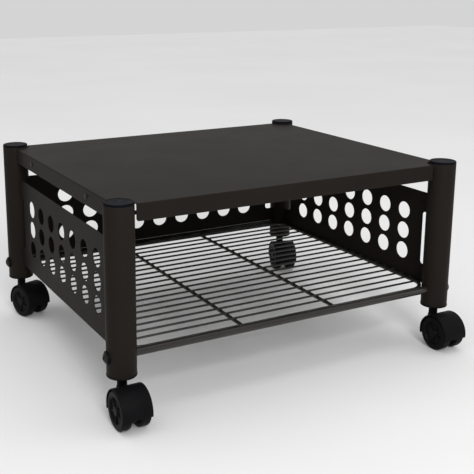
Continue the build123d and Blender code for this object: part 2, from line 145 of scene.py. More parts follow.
def pick_faces(piece, test):
    """In edit mode: selects the faces whose middle and normal pass the test."""
    bpy.ops.mesh.select_mode(type="FACE")
    bpy.ops.mesh.select_all(action="DESELECT")
    shape = bmesh.from_edit_mesh(piece.data)
    for face in shape.faces:
        face.select_set(bool(test(face.calc_center_median(), face.normal)))
    shape.select_flush_mode()
    bmesh.update_edit_mesh(piece.data)


def pick_edges(piece, test):
    """In edit mode: selects the edges whose two ends pass the test."""
    bpy.ops.mesh.select_mode(type="EDGE")
    bpy.ops.mesh.select_all(action="DESELECT")
    shape = bmesh.from_edit_mesh(piece.data)
    for edge in shape.edges:
        edge.select_set(bool(test(edge.verts[0].co, edge.verts[1].co)))
    shape.select_flush_mode()
    bmesh.update_edit_mesh(piece.data)


def settle(piece):
    """Puts a piece's place, turn and size into its mesh."""
    hold(piece)
    bpy.ops.object.transform_apply(location=True, rotation=True, scale=True)


def added(name):
    piece = bpy.context.active_object
    piece.name = name
    piece.data.name = name
    settle(piece)
    return piece


def box_between(name, low, high):
    """A box between two corners."""
    deselect_all()
    low, high = Vector(low), Vector(high)
    bpy.ops.mesh.primitive_cube_add(size=1, location=(low + high) / 2, scale=high - low)
    return added(name)


def round_bar(name, radius, length, middle, axis="Z", sides=48, ends="NGON"):
    """A round bar along one axis, about its middle."""
    deselect_all()
    turn = {"X": (0, math.pi / 2, 0), "Y": (math.pi / 2, 0, 0), "Z": (0, 0, 0)}[axis]
    bpy.ops.mesh.primitive_cylinder_add(vertices=sides, radius=radius, depth=length,
                                        end_fill_type=ends, location=middle, rotation=turn)
    return added(name)


def modifier(piece, kind, **settings):
    """Adds one modifier and applies it."""
    hold(piece)
    tool = piece.modifiers.new(kind.title(), kind)
    for key, value in settings.items():
        setattr(tool, key, value)
    bpy.ops.object.modifier_apply(modifier=tool.name)
    return piece


def soften(piece, width, segments=2, angle=30):
    """Rounds every edge sharper than an angle."""
    return modifier(piece, "BEVEL", width=width, segments=segments, limit_method="ANGLE",
                    angle_limit=math.radians(angle), use_clamp_overlap=True)


def cut(piece, cutter):
    """Cuts one solid out of another and removes the cutter."""
    modifier(piece, "BOOLEAN", operation="DIFFERENCE", solver="EXACT", object=cutter)
    bpy.data.objects.remove(cutter)
    return piece


def merge_and_face_out(piece, distance=0.00001):
    edit(piece)
    bpy.ops.mesh.select_all(action="SELECT")
    bpy.ops.mesh.remove_doubles(threshold=distance)
    bpy.ops.mesh.normals_make_consistent(inside=False)
    done()
    return piece


def joined(name, pieces):
    """Several objects made one."""
    deselect_all()
    for piece in pieces:
        piece.select_set(True)
    bpy.context.view_layer.objects.active = pieces[0]
    bpy.ops.object.join()
    whole = bpy.context.active_object
    whole.name = name
    whole.data.name = name
    return whole


def copy_of(piece, name, move=(0, 0, 0), turn=0.0):
    """A copy with its own mesh, turned about the vertical axis and then moved."""
    twin = piece.copy()
    twin.data = piece.data.copy()
    twin.name = name
    twin.data.name = name
    bpy.context.scene.collection.objects.link(twin)
    twin.rotation_euler = (0, 0, math.radians(turn))
    twin.location = move
    settle(twin)
    return twin


def turned(name, profile, steps=64, axis="Z", middle=(0, 0, 0)):
    """A turned piece: a profile of (radius, height) points, spun about an axis and closed."""
    deselect_all()
    bpy.ops.mesh.primitive_plane_add(size=MM)
    piece = bpy.context.active_object
    piece.name = name
    bpy.ops.object.mode_set(mode="EDIT")
    bpy.ops.mesh.select_mode(type="VERT")
    bpy.ops.mesh.select_all(action="SELECT")
    bpy.ops.mesh.merge(type="CENTER")
    first_r, first_h = profile[0]
    bpy.ops.transform.translate(value=(first_r, 0, first_h))
    for (r0, h0), (r1, h1) in zip(profile, profile[1:]):
        bpy.ops.mesh.extrude_vertices_move(TRANSFORM_OT_translate={"value": (r1 - r0, 0, h1 - h0)})
    bpy.ops.mesh.select_all(action="SELECT")
    bpy.ops.mesh.spin(steps=steps, angle=2 * math.pi, center=(0, 0, 0), axis=(0, 0, 1))
    bpy.ops.mesh.select_all(action="SELECT")
    bpy.ops.mesh.remove_doubles(threshold=0.000005)
    bpy.ops.mesh.normals_make_consistent(inside=False)
    done()
    turn = {"X": (0, math.pi / 2, 0), "-X": (0, -math.pi / 2, 0), "Y": (-math.pi / 2, 0, 0),
            "-Y": (math.pi / 2, 0, 0), "Z": (0, 0, 0)}[axis]
    piece.rotation_euler = turn
    piece.location = middle
    settle(piece)
    return piece


def arc(middle, radius, start, end, steps):
    """Points of an arc in a profile, by its middle, radius and two angles."""
    points = []
    for step in range(steps + 1):
        angle = math.radians(start + (end - start) * step / steps)
        points.append((middle[0] + radius * math.cos(angle), middle[1] + radius * math.sin(angle)))
    return points


def finish_piece(piece, body, finish, nodes=(), smooth=30):
    """Shades a piece, unless it is shaded already, coats it, and fixes it to its body."""
    settle(piece)
    if smooth:
        bpy.ops.object.shade_smooth_by_angle(angle=math.radians(smooth))
    piece.data.materials.clear()
    piece.data.materials.append(finish)
    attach(piece, body)
    if nodes:
        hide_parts(*nodes)
    return piece


def weigh_normals(piece):
    """Keeps large flat faces flat beside their rounded edges."""
    hold(piece)
    bpy.ops.object.shade_smooth_by_angle(angle=math.radians(35))
    return modifier(piece, "WEIGHTED_NORMAL", keep_sharp=True, weight=60)


# ---- finishes -----------------------------------------------------------------

class Finish:
    """Builds one node material, step by step."""

    def __init__(self, name):
        self.material = bpy.data.materials.new(name)
        self.material.use_nodes = True
        self.tree = self.material.node_tree
        self.shader = self.tree.nodes["Principled BSDF"]
        self.place = self.tree.nodes.new("ShaderNodeTexCoord").outputs["Object"]

    def node(self, kind, inputs=None, **settings):
        made = self.tree.nodes.new("ShaderNode" + kind)
        for key, value in settings.items():
            setattr(made, key, value)
        for key, value in (inputs or {}).items():
            if hasattr(value, "is_output"):
                self.tree.links.new(value, made.inputs[key])
            else:
                made.inputs[key].default_value = value
        return made

    def noise(self, scale, detail=4.0, roughness=0.5, stretch=None):
        place = self.place
        if stretch:
            place = self.node("Mapping", {"Vector": place, "Scale": stretch}).outputs["Vector"]
        return self.node("TexNoise", {"Vector": place, "Scale": scale, "Detail": detail,
                                      "Roughness": roughness}).outputs["Fac"]

    def span(self, value, low, high, to_low, to_high):
        return self.node("MapRange", {"Value": value, "From Min": low, "From Max": high,
                                      "To Min": to_low, "To Max": to_high}).outputs["Result"]

    def math(self, operation, a, b):
        return self.node("Math", {0: a, 1: b}, operation=operation).outputs["Value"]

    def blend(self, share, a, b):
        mix = self.node("Mix", data_type="RGBA")
        for key, value in ((0, share), (6, a), (7, b)):
            if hasattr(value, "is_output"):
                self.tree.links.new(value, mix.inputs[key])
            else:
                mix.inputs[key].default_value = value
        return mix.outputs[2]

    def edge_wear(self, reach):
        """How far a place lies on a rubbed edge, 0 to 1, broken up by grain."""
        eased = self.node("Bevel", {"Radius": reach}, samples=4).outputs["Normal"]
        flat = self.node("NewGeometry").outputs["Normal"]
        product = self.node("VectorMath", {0: eased, 1: flat}, operation="DOT_PRODUCT")
        agree = product.outputs["Value"]
        worn = self.span(agree, 0.995, 0.90, 0.0, 1.0)
        return self.math("MULTIPLY", worn, self.span(self.noise(180.0), 0.45, 0.62, 0.0, 1.0))

    def bump(self, height, strength, distance, under=None):
        inputs = {"Height": height, "Strength": strength, "Distance": distance}
        if under is not None:
            inputs["Normal"] = under
        return self.node("Bump", inputs).outputs["Normal"]

    def end(self, colour, roughness, normal=None, **constants):
        self.tree.links.new(colour, self.shader.inputs["Base Color"])
        self.tree.links.new(roughness, self.shader.inputs["Roughness"])
        if normal is not None:
            self.tree.links.new(normal, self.shader.inputs["Normal"])
        for key, value in constants.items():
            self.shader.inputs[key.replace("_", " ")].default_value = value
        return self.material


def satin_black_coat():
    """Warm near-black satin powder coat: orange peel, faint mottling, rubbed edges."""
    f = Finish("satin_black_coat")
    cloud = f.span(f.noise(7.0, 2.0), 0.3, 0.7, 0.0, 1.0)
    colour = f.blend(cloud, (0.0128, 0.0104, 0.0087, 1), (0.0150, 0.0123, 0.0103, 1))
    speck = f.span(f.noise(1500.0, 2.0), 0.62, 0.74, 0.0, 0.3)
    colour = f.blend(speck, colour, (0.026, 0.022, 0.019, 1))
    wear = f.edge_wear(0.0006)
    colour = f.blend(f.math("MULTIPLY", wear, 0.35), colour, (0.07, 0.063, 0.057, 1))
    roughness = f.span(f.noise(14.0, 3.0), 0.3, 0.7, 0.40, 0.44)
    roughness = f.math("ADD", roughness, f.math("MULTIPLY", speck, 0.15))
    peel = f.bump(f.noise(900.0, 2.0), 0.12, 0.0002)
    normal = f.bump(f.noise(2600.0, 1.0), 0.06, 0.0001, peel)
    return f.end(colour, roughness, normal, Specular_IOR_Level=0.025)


def drawn_wire_coat():
    """The same black coat on drawn rod and tube: thinner, so smoother and a little paler."""
    f = Finish("drawn_wire_coat")
    cloud = f.span(f.noise(30.0, 2.0), 0.3, 0.7, 0.0, 1.0)
    colour = f.blend(cloud, (0.0140, 0.0122, 0.0105, 1), (0.0185, 0.0162, 0.0142, 1))
    drawn = f.noise(400.0, 3.0, stretch=(0.06, 1, 1))
    roughness = f.span(drawn, 0.3, 0.7, 0.20, 0.28)
    normal = f.bump(f.noise(1100.0, 2.0), 0.08, 0.0002)
    return f.end(colour, roughness, normal, Specular_IOR_Level=0.4)


def cap_plastic():
    """Blue-black moulded plastic of the post caps, slightly sparkling."""
    f = Finish("cap_plastic")
    cloud = f.span(f.noise(60.0), 0.3, 0.7, 0.0, 1.0)
    colour = f.blend(cloud, (0.0034, 0.0037, 0.0056, 1), (0.0050, 0.0053, 0.0078, 1))
    wear = f.edge_wear(0.0005)
    colour = f.blend(f.math("MULTIPLY", wear, 0.5), colour, (0.05, 0.052, 0.06, 1))
    roughness = f.span(f.noise(140.0, 4.0), 0.3, 0.7, 0.34, 0.44)
    normal = f.bump(f.noise(1800.0, 2.0), 0.15, 0.0002)
    return f.end(colour, roughness, normal, Specular_IOR_Level=0.012)


def moulded_nylon():
    """Near-black caster nylon with a fine spark-eroded grain and scuffed edges."""
    f = Finish("moulded_nylon")
    cloud = f.span(f.noise(45.0), 0.3, 0.7, 0.0, 1.0)
    colour = f.blend(cloud, (0.0030, 0.0030, 0.0036, 1), (0.0046, 0.0045, 0.0052, 1))
    wear = f.edge_wear(0.0006)
    colour = f.blend(f.math("MULTIPLY", wear, 0.4), colour, (0.03, 0.029, 0.029, 1))
    roughness = f.span(f.noise(90.0, 5.0), 0.3, 0.7, 0.46, 0.56)
    normal = f.bump(f.noise(2200.0, 3.0), 0.2, 0.0002)
    return f.end(colour, roughness, normal, Specular_IOR_Level=0.05)


def wheel_plastic():
    """Hard black tread plastic, dusty and scuffed where it rolls."""
    f = Finish("wheel_plastic")
    cloud = f.span(f.noise(35.0), 0.3, 0.7, 0.0, 1.0)
    colour = f.blend(cloud, (0.0036, 0.0036, 0.0040, 1), (0.0054, 0.0053, 0.0057, 1))
    scuff = f.span(f.noise(260.0, 6.0, 0.65), 0.58, 0.72, 0.0, 0.7)
    colour = f.blend(f.math("MULTIPLY", scuff, 0.3), colour, (0.022, 0.021, 0.020, 1))
    roughness = f.math("ADD", f.span(f.noise(80.0, 4.0), 0.3, 0.7, 0.38, 0.48),
                       f.math("MULTIPLY", scuff, 0.15))
    normal = f.bump(f.noise(1400.0, 3.0), 0.15, 0.0002)
    return f.end(colour, roughness, normal, Specular_IOR_Level=0.05)


def dark_fastener_steel():
    """Blackened steel of the bolts and screws; paler edges and recess rims, partly rubbed wear and
    partly a painted glint.
    """
    f = Finish("dark_fastener_steel")
    cloud = f.span(f.noise(220.0, 5.0), 0.35, 0.65, 0.0, 1.0)
    colour = f.blend(cloud, (0.015, 0.014, 0.013, 1), (0.024, 0.023, 0.022, 1))
    # Paler metal on the head edges, the socket and the cross recess: partly rubbed wear, partly a
    # painted glint.
    wear = f.edge_wear(0.0004)
    colour = f.blend(f.math("MULTIPLY", wear, 0.45), colour, (0.20, 0.195, 0.19, 1))
    roughness = f.span(f.noise(400.0, 4.0), 0.3, 0.7, 0.26, 0.42)
    normal = f.bump(f.noise(3000.0, 2.0), 0.12, 0.0001)
    return f.end(colour, roughness, normal, Metallic=0.85)


def zinc_plate():
    """Bright zinc plating, cloudy and finely drawn along the height."""
    f = Finish("zinc_plate")
    cloud = f.span(f.noise(160.0, 5.0), 0.3, 0.7, 0.0, 1.0)
    colour = f.blend(cloud, (0.38, 0.39, 0.40, 1), (0.56, 0.57, 0.58, 1))
    drawn = f.noise(500.0, 3.0, stretch=(1, 1, 0.08))
    roughness = f.span(drawn, 0.3, 0.7, 0.24, 0.42)
    normal = f.bump(drawn, 0.12, 0.0001)
    return f.end(colour, roughness, normal, Metallic=1.0)


def weld_bead():
    """Coated resistance weld: the same black coat, a little rougher and greyer."""
    f = Finish("weld_bead")
    cloud = f.span(f.noise(600.0, 5.0), 0.35, 0.65, 0.0, 1.0)
    colour = f.blend(cloud, (0.010, 0.0085, 0.0072, 1), (0.020, 0.0175, 0.0155, 1))
    roughness = f.span(f.noise(900.0, 4.0), 0.3, 0.7, 0.42, 0.6)
    normal = f.bump(f.noise(1600.0, 4.0), 0.4, 0.0003)
    return f.end(colour, roughness, normal, Specular_IOR_Level=0.14)


def studio_paper():
    """Seamless pale paper under and behind the stand."""
    f = Finish("studio_paper")
    cloud = f.span(f.noise(1.5), 0.3, 0.7, 0.0, 1.0)
    colour = f.blend(cloud, (0.74, 0.74, 0.74, 1), (0.77, 0.77, 0.77, 1))
    roughness = f.span(f.noise(200.0, 4.0), 0.3, 0.7, 0.75, 0.9)
    normal = f.bump(f.noise(700.0, 4.0), 0.05, 0.0002)
    return f.end(colour, roughness, normal)


SATIN = satin_black_coat()
DRAWN = drawn_wire_coat()
CAP = cap_plastic()
NYLON = moulded_nylon()
WHEEL = wheel_plastic()
FASTENER = dark_fastener_steel()
ZINC = zinc_plate()
BEAD = weld_bead()
PAPER = studio_paper()


# ---- posts, caps and sockets --------------------------------------------------

def post_axis(corner):
    """X and Y of a post's axis."""
    low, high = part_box("caster_socket_" + corner)
    middle = (low + high) / 2
    return middle.x, middle.y


def make_post(corner):
    """Steel tube with a real wall and slightly broken rims."""
    x, y = post_axis(corner)
    low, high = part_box("post_" + corner)
    tube = round_bar("post_tube_" + corner, POST_R, high.z - low.z, (x, y, (low.z + high.z) / 2),
                     sides=96, ends="NOTHING")
    modifier(tube, "SOLIDIFY", thickness=POST_WALL, offset=-1)
    soften(tube, 0.3 * MM, angle=60)
    return finish_piece(tube, "frame", SATIN, ["post_" + corner])


def make_cap():
    """Moulded cap: a disc with a rounded rim and a shallow dished top over a hollow plug."""
    rise, rim, depth = 3.0 * MM, 1.2 * MM, -12.0 * MM
    disc_r, plug_in = POST_R - 0.1 * MM, PLUG_R - 2.0 * MM
    profile = [(0, -1.0 * MM), (plug_in, -1.0 * MM), (plug_in, depth)]
    profile += [(PLUG_R - 0.4 * MM, depth), (PLUG_R, depth + 0.6 * MM), (PLUG_R, 0)]
    profile += [(disc_r - 0.25 * MM, 0), (disc_r, 0.25 * MM)]
    profile += arc((disc_r - rim, rise - rim), rim, 0, 90, 6)
    profile += [(disc_r - 2.6 * MM, rise), (disc_r - 3.1 * MM, rise - 0.3 * MM)]
    profile += [(disc_r * 0.5, rise - 0.38 * MM), (0, rise - 0.4 * MM)]
    return turned("post_cap_model", profile, steps=96)


def make_socket():
    """Caster socket: a flange that shows under the tube, and a ribbed body inside it."""
    over, rise = 19.45 * MM, 2.5 * MM
    inner, top = PLUG_R, 21.5 * MM
    bore = STEM_R + 0.1 * MM
    profile = [(0, top - 1.6 * MM), (bore, top - 1.6 * MM), (bore, 0.6 * MM), (bore + 0.6 * MM, 0)]
    profile += [(over - 0.8 * MM, 0)]
    profile += arc((over - 0.8 * MM, 0.8 * MM), 0.8 * MM, -90, 0, 4)[1:]
    profile += [(over, rise - 0.3 * MM), (over - 0.3 * MM, rise), (inner, rise)]
    for groove in (6, 10, 14):
        at = groove * MM
        profile += [(inner, at), (inner - 0.5 * MM, at + 0.5 * MM)]
        profile += [(inner - 0.5 * MM, at + 1.5 * MM), (inner, at + 2.0 * MM)]
    profile += [(inner, top - 1.0 * MM), (inner - 1.0 * MM, top), (0, top)]
    return turned("caster_socket_model", profile, steps=96)


def place_posts():
    """A tube, a cap and a socket at each corner."""
    cap_model = make_cap()
    socket_model = make_socket()
    for corner in CORNERS:
        x, y = post_axis(corner)
        make_post(corner)
        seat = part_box("post_" + corner)[1].z
        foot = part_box("caster_socket_" + corner)[0].z
        cap = copy_of(cap_model, "cap_" + corner, (x, y, seat))
        finish_piece(cap, "frame", CAP, ["post_cap_" + corner])
        socket = copy_of(socket_model, "socket_" + corner, (x, y, foot))
        finish_piece(socket, "frame", NYLON, ["caster_socket_" + corner])
    bpy.data.objects.remove(cap_model)
    bpy.data.objects.remove(socket_model)


# ---- top shelf ----------------------------------------------------------------

def post_clearance_cutter(corner, low_z, high_z):
    """Round cutter for a shelf corner, flared at its foot so that the lips end in round corners."""
    x, y = post_axis(corner)
    r = POST_R + POST_GAP
    flare = arc((r + LIP_CORNER, low_z + LIP_CORNER), LIP_CORNER, -90, -180, 6)
    profile = [(0, low_z - 5 * MM), (r + LIP_CORNER, low_z - 5 * MM)] + flare
    profile += [(r, high_z + 5 * MM), (0, high_z + 5 * MM)]
    return turned("corner_cutter", profile, steps=96, middle=(x, y, 0))


def make_top_shelf():
    """Flat sheet folded down on four sides, cut back round the posts."""
    low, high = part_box("top_shelf")
    shelf = box_between("top_shelf_sheet", low, high)
    edit(shelf)
    pick_faces(shelf, lambda at, way: way.z < -0.9)
    bpy.ops.mesh.delete(type="FACE")
    pick_edges(shelf, lambda a, b: a.z > high.z - MM and b.z > high.z - MM)
    bpy.ops.mesh.bevel(offset=LIP_BEND, segments=5, affect="EDGES", clamp_overlap=False)
    done()
    modifier(shelf, "SOLIDIFY", thickness=SHEET, offset=-1, use_even_offset=True)
    for corner in CORNERS:
        cut(shelf, post_clearance_cutter(corner, low.z, high.z))
    soften(shelf, 0.2 * MM, angle=40)
    weigh_normals(shelf)
    return finish_piece(shelf, "frame", SATIN, ["top_shelf"], smooth=0)


def make_hat_channels():
    """Two folded stiffeners under the sheet, with rounded bends."""
    low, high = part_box("shelf_stiffeners")
    for name, start, end in (("left", low.x, low.x + CHANNEL_WIDTH),
                             ("right", high.x - CHANNEL_WIDTH, high.x)):
        left_wall, right_wall = start + CHANNEL_FLANGE, end - CHANNEL_FLANGE
        channel = box_between("shelf_channel_" + name, (left_wall, low.y, low.z),
                              (right_wall, high.y, high.z - SHEET / 2))
        edit(channel)
        pick_faces(channel, lambda at, way: way.z > 0.9 or abs(way.y) > 0.9)
        bpy.ops.mesh.delete(type="FACE")
        for wall, reach in ((left_wall, -CHANNEL_FLANGE), (right_wall, CHANNEL_FLANGE)):
            pick_edges(channel, lambda a, b: a.z > low.z + MM and b.z > low.z + MM
                       and abs(a.x - wall) < MM and abs(b.x - wall) < MM)
            bpy.ops.mesh.extrude_edges_move(TRANSFORM_OT_translate={"value": (reach, 0, 0)})
        pick_edges(channel, lambda a, b: abs(a.y - b.y) > 0.1 and min(a.x, b.x) > start + MM
                   and max(a.x, b.x) < end - MM)
        bpy.ops.mesh.bevel(offset=CHANNEL_BEND, segments=4, affect="EDGES")
        bpy.ops.mesh.select_all(action="SELECT")
        bpy.ops.mesh.normals_make_consistent(inside=False)
        done()
        modifier(channel, "SOLIDIFY", thickness=SHEET * 0.98, offset=0)
        low_now = min(v.co.z for v in channel.data.vertices)
        channel.location.z = low.z - low_now
        settle(channel)
        nodes = ["shelf_stiffeners"] if name == "left" else []
        finish_piece(channel, "frame", SATIN, nodes)


# ---- perforated panels --------------------------------------------------------

def hole_cutter(places, axis):
    """Every hole of one panel as a single cutter."""
    first = round_bar("hole_cutter", HOLE_R, 8 * MM, places[0], axis, sides=64)
    others = [copy_of(first, "hole_cutter", Vector(at) - Vector(places[0])) for at in places[1:]]
    return joined("hole_cutter", [first] + others)


def slot_cutter(low, high, long_axis):
    """Open slot at a panel's end, its two inner corners rounded."""
    cutter = box_between("slot_cutter", low, high)
    across = 1 if long_axis == "Y" else 0
    through = 1 - across
    edit(cutter)
    pick_edges(cutter, lambda a, b: abs(a[through] - b[through]) > MM)
    bpy.ops.mesh.bevel(offset=SLOT_CORNER, segments=8, affect="EDGES", clamp_overlap=False)
    done()
    return cutter


def make_panel(name, node, long_axis, pitch, count, posts):
    """Perforated panel along X or Y, with an open slot beside each post."""
    low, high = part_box(node)
    along = 1 if long_axis == "Y" else 0
    through = 1 - along
    middle = (low + high) / 2
    panel = box_between(name, low, high)
    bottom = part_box("side_panel_left")[0].z + TAB_HEIGHT_BOTTOM
    top = high.z - TAB_HEIGHT_TOP
    for post, way in zip(posts, (1, -1)):
        post_at = post_axis(post)[along]
        inner = post_at + way * (POST_R + SLOT_WIDTH)
        outer = post_at + way * (POST_R - SLOT_INTO_POST)
        a, b = low.copy(), high.copy()
        a[along], b[along] = min(inner, outer), max(inner, outer)
        a[through] -= 3 * MM
        b[through] += 3 * MM
        a.z, b.z = bottom, top
        cut(panel, slot_cutter(a, b, long_axis))
    places = []
    for row in range(HOLE_ROWS):
        z = high.z - HOLE_TOP_DROP - row * HOLE_ROW_PITCH
        for column in range(count):
            at = middle.copy()
            at[along] = middle[along] + (column - (count - 1) / 2) * pitch
            at.z = z
            places.append(tuple(at))
    cut(panel, hole_cutter(places, "X" if long_axis == "Y" else "Y"))
    soften(panel, 0.22 * MM, segments=2, angle=40)
    weigh_normals(panel)
    return finish_piece(panel, "frame", SATIN, [node], smooth=0)


def make_panels():
    make_panel("perforated_side_left", "side_panel_left", "Y", SIDE_HOLE_PITCH, SIDE_HOLE_COUNT,
               ("front_left", "rear_left"))
    make_panel("perforated_side_right", "side_panel_right", "Y", SIDE_HOLE_PITCH, SIDE_HOLE_COUNT,
               ("front_right", "rear_right"))
    make_panel("perforated_back", "rear_panel", "X", REAR_HOLE_PITCH, REAR_HOLE_COUNT,
               ("rear_left", "rear_right"))


# ---- lower shelf --------------------------------------------------------------

def make_lower_rail(name, node):
    """Round tube coped to the two posts that it meets."""
    low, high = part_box(node)
    middle = (low + high) / 2
    rail = round_bar(name, RAIL_R, high.x - low.x, middle, "X", sides=64, ends="NOTHING")
    modifier(rail, "SOLIDIFY", thickness=RAIL_WALL, offset=-1)
    for corner in CORNERS:
        x, y = post_axis(corner)
        if abs(y - middle.y) < 5 * MM:
            cut(rail, round_bar("cope_cutter", POST_R, 40 * MM, (x, y, middle.z), sides=96))
    return finish_piece(rail, "frame", DRAWN, [node], smooth=35)


def make_rim_rod(half_x, half_y, middle):
    """Bent rod round the edge of the wire shelf, with a large bend at each corner."""
    deselect_all()
    bpy.ops.mesh.primitive_plane_add(size=1, location=middle)
    line = bpy.context.active_object
    line.scale = (2 * half_x, 2 * half_y, 1)
    line = added("wire_shelf_rim")
    edit(line)
    bpy.ops.mesh.select_mode(type="VERT")
    bpy.ops.mesh.select_all(action="SELECT")
    bpy.ops.mesh.bevel(offset=RIM_CORNER, segments=12, affect="VERTICES")
    bpy.ops.mesh.select_all(action="SELECT")
    bpy.ops.mesh.delete(type="ONLY_FACE")
    done()
    hold(line)
    bpy.ops.object.convert(target="CURVE")
    line = bpy.context.active_object
    line.data.bevel_depth = RIM_ROD_R
    line.data.bevel_resolution = 6
    line.data.use_fill_caps = False
    bpy.ops.object.convert(target="MESH")
    rod = bpy.context.active_object
    rod.name = "wire_shelf_rim"
    rod.data.name = "wire_shelf_rim"
    return merge_and_face_out(rod)


def rim_reach(y, half_x, half_y):
    """Half width between the rim's side rods at a place along Y."""
    past = abs(y) - (half_y - RIM_CORNER)
    if past <= 0:
        return half_x
    return half_x - RIM_CORNER + math.sqrt(RIM_CORNER ** 2 - past ** 2)


def ended_bar(name, radius, length, middle, axis, sides=20):
    """Cut rod with broken ends."""
    bar = round_bar(name, radius, length, middle, axis, sides=sides)
    return soften(bar, radius * 0.3, segments=2, angle=60)


def weld_spot(at):
    """Small fused bead where two rods cross."""
    deselect_all()
    bpy.ops.mesh.primitive_uv_sphere_add(segments=10, ring_count=6, radius=1, location=at,
                                         scale=WELD_SIZE)
    return added("weld")


def make_wire_shelf():
    """Rim, two supports, cross wires and the welds where they meet."""
    low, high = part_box("wire_shelf")
    half_x = (high.x - low.x) / 2 - RIM_ROD_R
    half_y = (high.y - low.y) / 2 - RIM_ROD_R
    middle_y = (low.y + high.y) / 2
    rail_z = low.z + RIM_ROD_R
    wire_z = high.z - WIRE_R
    rim = make_rim_rod(half_x, half_y, (0, middle_y, rail_z))
    finish_piece(rim, "frame", DRAWN, ["wire_shelf"], smooth=40)
    supports = []
    for way in (-1, 1):
        supports.append(ended_bar("support", SUPPORT_R, 2 * half_y,
                                  (way * SUPPORT_SPREAD / 2, middle_y, rail_z), "Y", sides=24))
    finish_piece(joined("wire_shelf_supports", supports), "frame", DRAWN,
                 smooth=40)
    wires, welds = [], []
    for step in range(-WIRE_STEPS, WIRE_STEPS + 1):
        offset = step * WIRE_PITCH
        reach = rim_reach(offset, half_x, half_y)
        wires.append(ended_bar("wire", WIRE_R, 2 * reach + 2 * WIRE_R,
                               (0, middle_y + offset, wire_z), "X"))
        for x in (-reach, -SUPPORT_SPREAD / 2, SUPPORT_SPREAD / 2, reach):
            welds.append(weld_spot((x, middle_y + offset, wire_z - 1.4 * MM)))
    finish_piece(joined("wire_shelf_wires", wires), "frame", DRAWN,
                 smooth=40)
    finish_piece(joined("wire_shelf_welds", welds), "frame", BEAD, smooth=60)


# ---- fasteners ----------------------------------------------------------------

def make_bolt_model():
    """Round-headed bolt along +X with a hexagonal socket; its head seats at X 0."""
    crown = [(0, BOLT_HEAD_RISE)] + arc((0, -6.125 * MM), 10.125 * MM, 80, 50, 6)
    crown = [(r, h) for r, h in crown if h >= 0.9 * MM and r <= BOLT_HEAD_R - 0.3 * MM]
    profile = crown + [(BOLT_HEAD_R, 0.9 * MM), (BOLT_HEAD_R, 0.25 * MM)]
    profile += [(BOLT_HEAD_R - 0.25 * MM, 0), (BOLT_SHANK_R, 0)]
    profile += [(BOLT_SHANK_R, -BOLT_REACH), (0, -BOLT_REACH)]
    bolt = turned("rail_bolt_model", profile, steps=48, axis="X")
    deselect_all()
    bpy.ops.mesh.primitive_cylinder_add(vertices=6, radius=BOLT_SOCKET_R, depth=5 * MM,
                                        location=(4.4 * MM, 0, 0), rotation=(0, math.pi / 2, 0))
    cut(bolt, added("hex_cutter"))
    return soften(bolt, 0.12 * MM, segments=1, angle=50)


def place_bolts():
    """One bolt through the outside of each post into the end of its lower rail."""
    model = make_bolt_model()
    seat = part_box("rail_bolts")[1].x - BOLT_HEAD_RISE
    low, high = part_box("lower_front_rail")
    z = (low.z + high.z) / 2
    bolts = []
    for corner in CORNERS:
        x, y = post_axis(corner)
        side, turn = (1, 0) if x > 0 else (-1, 180)
        bolts.append(copy_of(model, "rail_bolt_" + corner, (side * seat, y, z), turn))
    bpy.data.objects.remove(model)
    finish_piece(joined("rail_bolts_set", bolts), "frame", FASTENER, ["rail_bolts"])


def make_screw_model():
    """Pan-headed screw along +X with a cross recess; its head seats at X 0."""
    r, rise = SCREW_HEAD_R, SCREW_HEAD_RISE
    profile = [(0, rise)] + arc((r - 1.3 * MM, rise - 1.3 * MM), 1.3 * MM, 90, 0, 5)
    profile += [(r, 0), (SCREW_SHANK_R, 0), (SCREW_SHANK_R, -SCREW_REACH), (0, -SCREW_REACH)]
    screw = turned("shelf_screw_model", profile, steps=40, axis="X")
    for size in ((0.8 * MM, 3.6 * MM), (3.6 * MM, 0.8 * MM)):
        cutter = box_between("cross_cutter", (0.7 * MM, -size[0] / 2, -size[1] / 2),
                             (3 * MM, size[0] / 2, size[1] / 2))
        cut(screw, cutter)
    return soften(screw, 0.1 * MM, segments=1, angle=50)


def place_screws():
    """Two screws through each side lip of the top shelf."""
    model = make_screw_model()
    low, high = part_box("shelf_screws")
    middle_y, z = (low.y + high.y) / 2, (low.z + high.z) / 2
    spread = high.y - low.y - 2 * SCREW_HEAD_R
    seat = high.x - SCREW_HEAD_RISE
    screws = []
    for side, turn in ((-1, 180), (1, 0)):
        for end in (-1, 1):
            at = (side * seat, middle_y + end * spread / 2, z)
            screws.append(copy_of(model, "shelf_screw", at, turn))
    bpy.data.objects.remove(model)
    finish_piece(joined("shelf_screws_set", screws), "frame", FASTENER,
                 ["shelf_screws"])


# ---- casters ------------------------------------------------------------------

def hood_shell():
    """Curved shell over both wheels; its axle lies along Y at the origin."""
    first, last = math.radians(HOOD_FIRST), math.radians(HOOD_LAST)
    outer, inner = HOOD_R, HOOD_INNER_R
    deselect_all()
    bpy.ops.mesh.primitive_plane_add(size=1)
    shell = bpy.context.active_object
    shell.scale = (outer - inner, 2 * HOOD_HALF, 1)
    shell.location = ((outer + inner) / 2, 0, 0)
    shell = added("hood_shell")
    shell.rotation_euler = (0, -first, 0)
    settle(shell)
    edit(shell)
    bpy.ops.mesh.select_all(action="SELECT")
    bpy.ops.mesh.spin(steps=48, angle=last - first, center=(0, 0, 0), axis=(0, 1, 0))
    done()
    return shell


